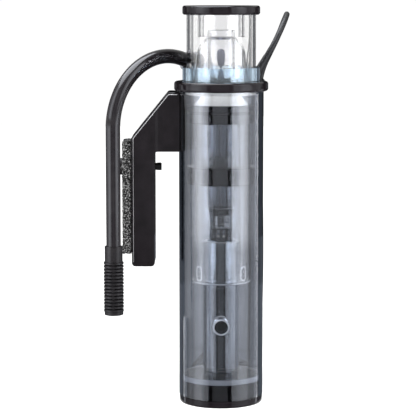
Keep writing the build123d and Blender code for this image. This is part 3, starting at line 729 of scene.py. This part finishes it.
# ---------------------------------------------------------------- studio: floor and sky
WORLD_LEVEL = 1.02
FLOOR_HALF = 3.0
FLOOR_LOOK = {
    "Base_Color": (0.86, 0.86, 0.86, 1),
    "Roughness": 0.9,
    "Specular_IOR_Level": 0.0,
    "Emission_Color": (1, 1, 1, 1),
    "Emission_Strength": 0.35,
}


def make_world():
    """Plain white light from all round."""
    world = bpy.data.worlds.new("studio")
    world.use_nodes = True
    back = world.node_tree.nodes["Background"]
    back.inputs["Color"].default_value = (1.0, 1.0, 1.0, 1)
    back.inputs["Strength"].default_value = WORLD_LEVEL
    scene.world = world
    scene.view_settings.view_transform = "Standard"


def make_floor():
    """The plain pale floor."""
    corners = [(x * FLOOR_HALF, y * FLOOR_HALF, 0) for x, y in ((-1, -1), (1, -1), (1, 1), (-1, 1))]
    data = bpy.data.meshes.new("floor")
    data.from_pydata(corners, [], [(0, 1, 2, 3)])
    paint, _, shader, _ = new_material("floor")
    set_sockets(shader, FLOOR_LOOK)
    data.materials.append(paint)
    floor = bpy.data.objects.new("floor", data)
    scene.collection.objects.link(floor)


# ---------------------------------------------------------------- studio: cards that the tube mirrors
CARD_LIGHT = (0.97, 1.0, 1.07)
MAT_LIGHT = (0.92, 1.0, 1.15)
MAT_STEPS = 72
MAT_LIFT = 0.0006
MAT_END = 2.9
MAT_END_TOP = 0.118
MAT_END_LEVEL = 0.12
MAT_RINGS = [  # inner and outer radius, and level
    (0.037, 0.35, 0.17),
    (0.35, 0.60, 0.19),
    (0.60, 1.35, 0.13),
    (1.35, MAT_END, 0.11),
]
CARD_LIFT = 0.0012
CARD_NEAR = 0.0005
CARD_STEP = 0.7  # millimetres of the tube's front between a card's columns
CARD_REACH = 0.60
ARM_REACH = 0.58
CARD_TOP = 0.9
ARM_FOOT = 0.150
LOW_WALL = 0.04  # up to this height a wall card is dimmer
LOW_SHARE = 0.62
LOW_FADE = 0.02
CUP_GAP = (0.236, 0.317)  # the heights that the cup mirrors, left clear of cards

# A mark is a column of the tube's front in millimetres, and the levels of floor and wall mirrored there.
LEFT_MARKS = [
    (-29.5, 0.4, 0.8),
    (-27.7, 0.7, 1.1),
    (-25.8, 1.4, 1.8),
    (-24.4, 1.1, 2.5),
    (-22.9, 1.6, 3.4),
    (-21.8, 2.5, 5.8),
    (-17.6, 3.1, 8.5),
    (-14.3, 1.5, 4.8),
    (-10.7, 1.4, 2.8),
]
LEFT_FLAG = [(-10.7, 0.02, 0.02), (-7.5, 0.02, 0.02)]
MIDDLE_MARKS = [(-7.5, 0.35, 0.8), (-4.2, 0.4, 0.9), (5.4, 0.35, 0.8)]
RIGHT_FLAG = [(5.4, 0.02, 0.02), (8.7, 0.02, 0.02)]
RIGHT_MARKS = [
    (8.7, 1.5, 4.5),
    (12.6, 1.9, 4.3),
    (16.0, 2.5, 7.8),
    (19.3, 2.6, 7.4),
    (21.3, 2.4, 6.0),
    (22.7, 1.5, 1.9),
    (26.0, 1.1, 1.8),
    (28.6, 1.1, 1.8),
]
ARM_MARKS = [(-29.5, 0.4, 1.7), (-27.7, 0.4, 2.2), (-24.4, 0.4, 3.9)]
EDGE_STRIPS = [  # name, marks, reach, foot and top
    ("strip_left", [(-31.3, 3.0, 3.0), (-30.1, 3.0, 3.0)], 0.03, 0.0, 0.068),
    (
        "strip_arm",
        [(-30.2, 0.9, 0.9), (-28.5, 1.2, 1.2), (-26.5, 1.8, 1.8), (-24.8, 1.7, 1.7)],
        0.028,
        0.068,
        0.257,
    ),
    ("strip_right", [(29.0, 4.6, 4.6), (30.2, 4.6, 4.6)], 0.03, 0.0, 0.257),
]
CUP_FLAGS = (("cup_flag_left", (-165, -138)), ("cup_flag_right", (138, 165)))
CUP_FLAG_Z = (0.226, 0.36)
CUP_FLAG_LEVEL = 0.16
BEHIND_AZIMUTHS = range(118, 243, 5)
BEHIND_AWAY = 1.0
BEHIND_TOP = 0.7
BEHIND_LEVEL = 0.015
SKY_CORNERS = [(-1.4, -0.7, 0.8), (-1.4, 0.5, 0.8), (0.35, 0.5, 1.6), (0.35, -0.7, 1.6)]
SKY_LEVEL = 16.0


def glow_material(name, colour):
    """A card's light, read from the level kept at its corners."""
    made = bpy.data.materials.new(name)
    made.use_nodes = True
    tree = made.node_tree
    tree.nodes.clear()
    out = tree.nodes.new("ShaderNodeOutputMaterial")
    glow = tree.nodes.new("ShaderNodeEmission")
    glow.inputs["Color"].default_value = (*colour, 1)
    level = tree.nodes.new("ShaderNodeAttribute")
    level.attribute_name = "level"
    tree.links.new(level.outputs["Fac"], glow.inputs["Strength"])
    tree.links.new(glow.outputs["Emission"], out.inputs["Surface"])
    return made


def hidden_card(name, verts, faces, levels, through=True, colour=CARD_LIGHT):
    """A stage mesh seen only in reflections and, unless through is off, through clear parts."""
    data = bpy.data.meshes.new(name)
    data.from_pydata(verts, [], faces)
    kept = data.attributes.new("level", "FLOAT", "POINT")
    kept.data.foreach_set("value", levels)
    data.materials.append(glow_material(name, colour))
    made = bpy.data.objects.new(name, data)
    made.visible_camera = False
    made.visible_shadow = False
    made.visible_diffuse = False
    made.visible_transmission = through
    scene.collection.objects.link(made)


def place(azimuth, radius, height):
    """A point round the object: azimuth 0 is towards the viewer, positive to the right."""
    turn = math.radians(azimuth)
    return Vector((radius * math.sin(turn), -radius * math.cos(turn), height))


def mat_band(name, first, second, level):
    """A band of grey mat round the object, between two rings that are each a radius and a height."""
    verts = []
    for k in range(MAT_STEPS):
        azimuth = 360.0 * k / MAT_STEPS
        verts += [place(azimuth, *first), place(azimuth, *second)]
    starts = [(2 * k, 2 * ((k + 1) % MAT_STEPS)) for k in range(MAT_STEPS)]
    faces = [(a, a + 1, b + 1, b) for a, b in starts]
    hidden_card(name, verts, faces, [level] * len(verts), colour=MAT_LIGHT)


def mirrored(column, reach, height):
    """Where the line of sight that meets the tube's front at a column is, a reach on from the tube."""
    column *= MM
    facing = math.asin(column / TUBE_R)
    turn = 2 * facing + math.atan2(column - CAMERA_AT[0], -CAMERA_AT[1])
    depth = -TUBE_R * math.cos(facing)
    return Vector((column + reach * math.sin(turn), depth - reach * math.cos(turn), height))


def card_columns(marks):
    """The marks with evenly stepped columns between them."""
    columns = []
    for before, after in zip(marks, marks[1:]):
        steps = max(1, round((after[0] - before[0]) / CARD_STEP))
        for k in range(steps):
            share = k / steps
            columns.append([low + (high - low) * share for low, high in zip(before, after)])
    columns.append(marks[-1])
    return columns


def card(name, marks, reach, heights):
    """A wall card that the tube's front mirrors between columns, and its floor card if it has a foot."""
    verts, levels, faces = [], [], []
    columns = card_columns(marks)
    for column, floor_level, wall_level in columns:
        verts += [mirrored(column, CARD_NEAR, CARD_LIFT), mirrored(column, reach, CARD_LIFT)]
        verts += [mirrored(column, reach, height) for height in heights]
        levels += [floor_level, floor_level]
        levels += [wall_level * (LOW_SHARE if height <= LOW_WALL else 1) for height in heights]
    rows = 2 + len(heights)
    for k in range(len(columns) - 1):
        a = rows * k
        b = a + rows
        if heights[0] == 0.0:
            faces.append((a, a + 1, b + 1, b))
        for row in range(2, rows - 1):
            faces.append((a + row, a + row + 1, b + row + 1, b + row))
    hidden_card(name, verts, faces, levels)


def make_mats():
    """Grey mats, which dim the clear walls where they mirror the floor, and a low wall at their end."""
    for number, (inner, outer, level) in enumerate(MAT_RINGS):
        mat_band(f"mat_{number}", (inner, MAT_LIFT), (outer, MAT_LIFT), level)
    mat_band("mat_end", (MAT_END, 0.0), (MAT_END, MAT_END_TOP), MAT_END_LEVEL)


def make_cards():
    """The light cards and black flags that the tube's front mirrors, left clear at the cup's heights."""
    for name, marks in (
        ("card_left", LEFT_MARKS),
        ("flag_left", LEFT_FLAG),
        ("card_middle", MIDDLE_MARKS),
        ("flag_right", RIGHT_FLAG),
        ("card_right", RIGHT_MARKS),
    ):
        card(name, marks, CARD_REACH, (0.0, LOW_WALL, LOW_WALL + LOW_FADE, CUP_GAP[0]))
        card(f"{name}_high", marks, CARD_REACH, (CUP_GAP[1], CARD_TOP))
    card("card_arm", ARM_MARKS, ARM_REACH, (ARM_FOOT, CUP_GAP[0]))
    for name, marks, reach, low, high in EDGE_STRIPS:
        card(name, marks, reach, (low, high))


def make_flags():
    """Grey flags behind the cup, a dark card behind the object, and the bright card overhead."""
    low, high = CUP_FLAG_Z
    for name, (start, end) in CUP_FLAGS:
        spots = ((start, low), (end, low), (end, high), (start, high))
        corners = [place(azimuth, CARD_REACH, height) for azimuth, height in spots]
        hidden_card(name, corners, [(0, 1, 2, 3)], [CUP_FLAG_LEVEL] * 4)
    behind = []
    for azimuth in BEHIND_AZIMUTHS:
        behind += [place(azimuth, BEHIND_AWAY, 0.0), place(azimuth, BEHIND_AWAY, BEHIND_TOP)]
    faces = [(k, k + 2, k + 3, k + 1) for k in range(0, len(behind) - 2, 2)]
    hidden_card("dark_behind", behind, faces, [BEHIND_LEVEL] * len(behind), through=False)
    hidden_card("sky_card", SKY_CORNERS, [(0, 1, 2, 3)], [SKY_LEVEL] * 4)


# ---------------------------------------------------------------- studio: lights
SOFTBOX_AWAY = 0.70
SOFTBOX_Z = (0.02, 0.95)
SOFTBOX_LEVEL = 7.0
CLEAR_BOUNCES = 28


def softbox(name, azimuths):
    """A flat area light that stands between two azimuths, facing the object."""
    left, right = (place(azimuth, SOFTBOX_AWAY, sum(SOFTBOX_Z) / 2) for azimuth in azimuths)
    data = bpy.data.lights.new(name, "AREA")
    data.shape = "RECTANGLE"
    data.size = (right - left).length
    data.size_y = SOFTBOX_Z[1] - SOFTBOX_Z[0]
    data.energy = SOFTBOX_LEVEL * math.pi * data.size * data.size_y
    made = bpy.data.objects.new(name, data)
    made.location = (left + right) / 2
    facing = Vector((-made.location.x, -made.location.y, 0))
    made.rotation_euler = facing.to_track_quat("-Z", "Y").to_euler()
    made.visible_glossy = False
    made.visible_camera = False
    scene.collection.objects.link(made)


def make_lights():
    """Two softboxes, and enough bounces for light to pass every clear wall."""
    softbox("softbox_left", (-36, -78))
    softbox("softbox_right", (30, 76))
    cycles = scene.cycles
    cycles.max_bounces = CLEAR_BOUNCES
    cycles.transmission_bounces = CLEAR_BOUNCES
    cycles.glossy_bounces = 8
    cycles.transparent_max_bounces = 16


# ---------------------------------------------------------------- build
make_camera()
finish_nodes()
lead = make_lead()
tie = coil_tie()
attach(lead, "housing")
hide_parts("power_cord", "cord_coil")
foam_block()
cut_edges()
ring_beads()
port_rim_highlights()
bracket_seam_highlight()
make_world()
make_floor()
make_mats()
make_cards()
make_flags()
make_lights()
